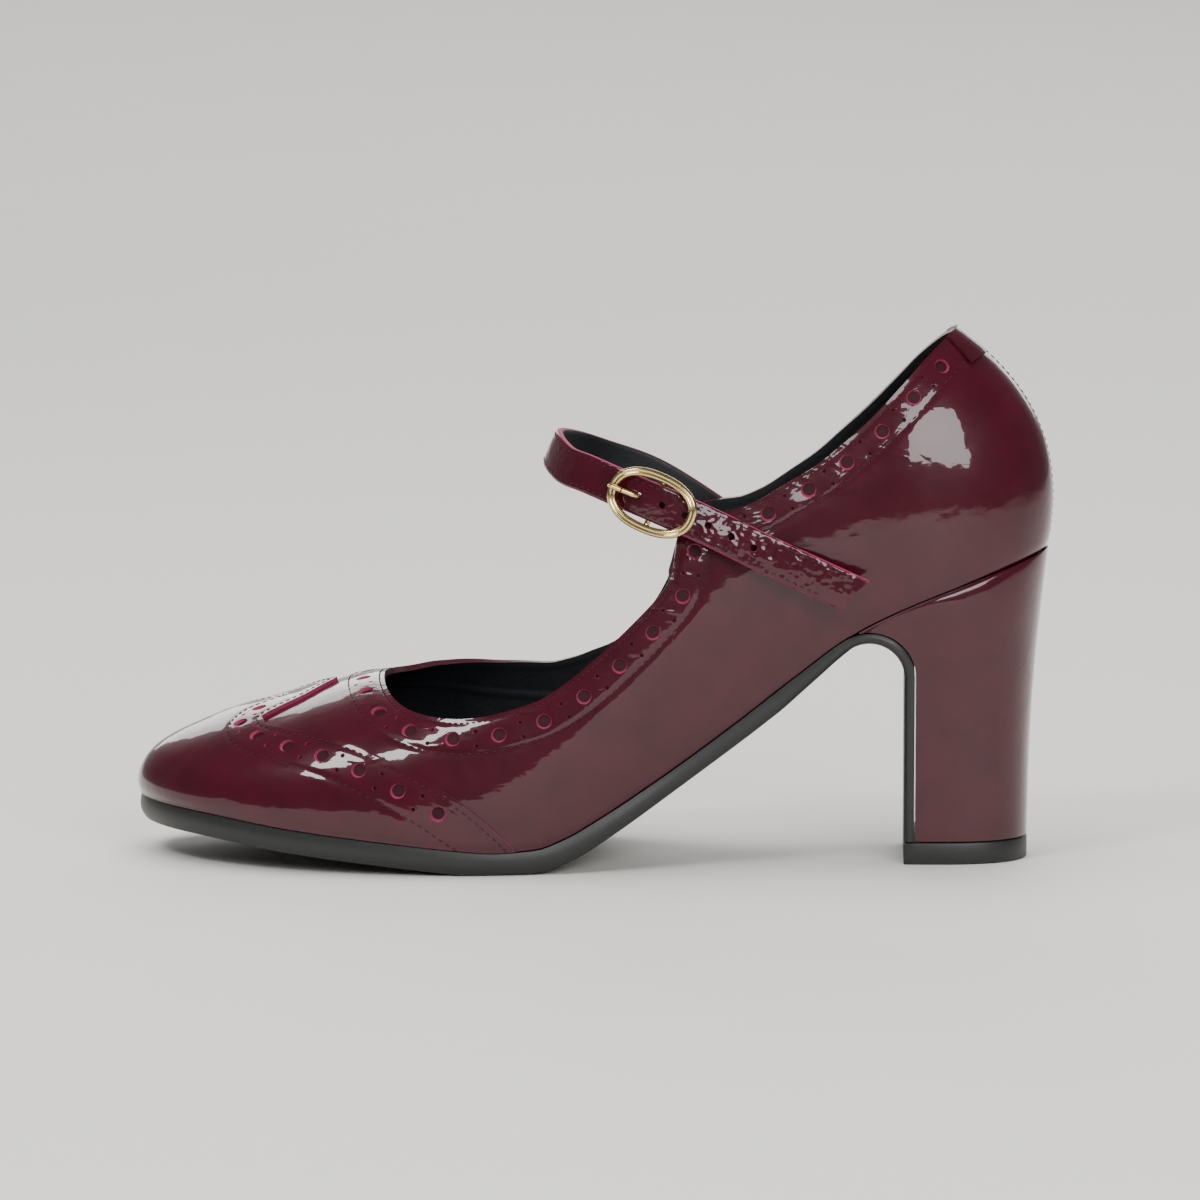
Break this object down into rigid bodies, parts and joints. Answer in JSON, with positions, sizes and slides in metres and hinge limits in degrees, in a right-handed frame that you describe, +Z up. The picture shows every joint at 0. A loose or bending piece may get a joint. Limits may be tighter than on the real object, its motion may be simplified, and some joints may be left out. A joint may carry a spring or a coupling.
{
  "type": "mary jane pump",
  "caption": "Left high heeled pump with a perforated wingtip, a buckled instep strap and a covered block heel.",
  "frame": {"origin": "on the floor, under the middle of the shoe's box", "axes": "+Z up, toe towards -X, heel towards +X, outer side with the buckle towards -Y"},
  "size_m": [0.2302, 0.08, 0.1337],
  "materials": {
    "patent_leather": "glossy crinkled patent",
    "lining_leather": "matt",
    "sole_rubber": "satin",
    "buckle_metal": "polished"
  },
  "bodies": {
    "root": {"upper": "patent_leather", "outsole": "sole_rubber", "insole": "lining_leather", "heel_block": "patent_leather", "top_lift": "sole_rubber", "wingtip": "patent_leather", "back_tab": "patent_leather", "strap": "patent_leather", "buckle_tab": "patent_leather", "buckle_frame": "buckle_metal", "buckle_prong": "buckle_metal"}
  },
  "joints": []
}
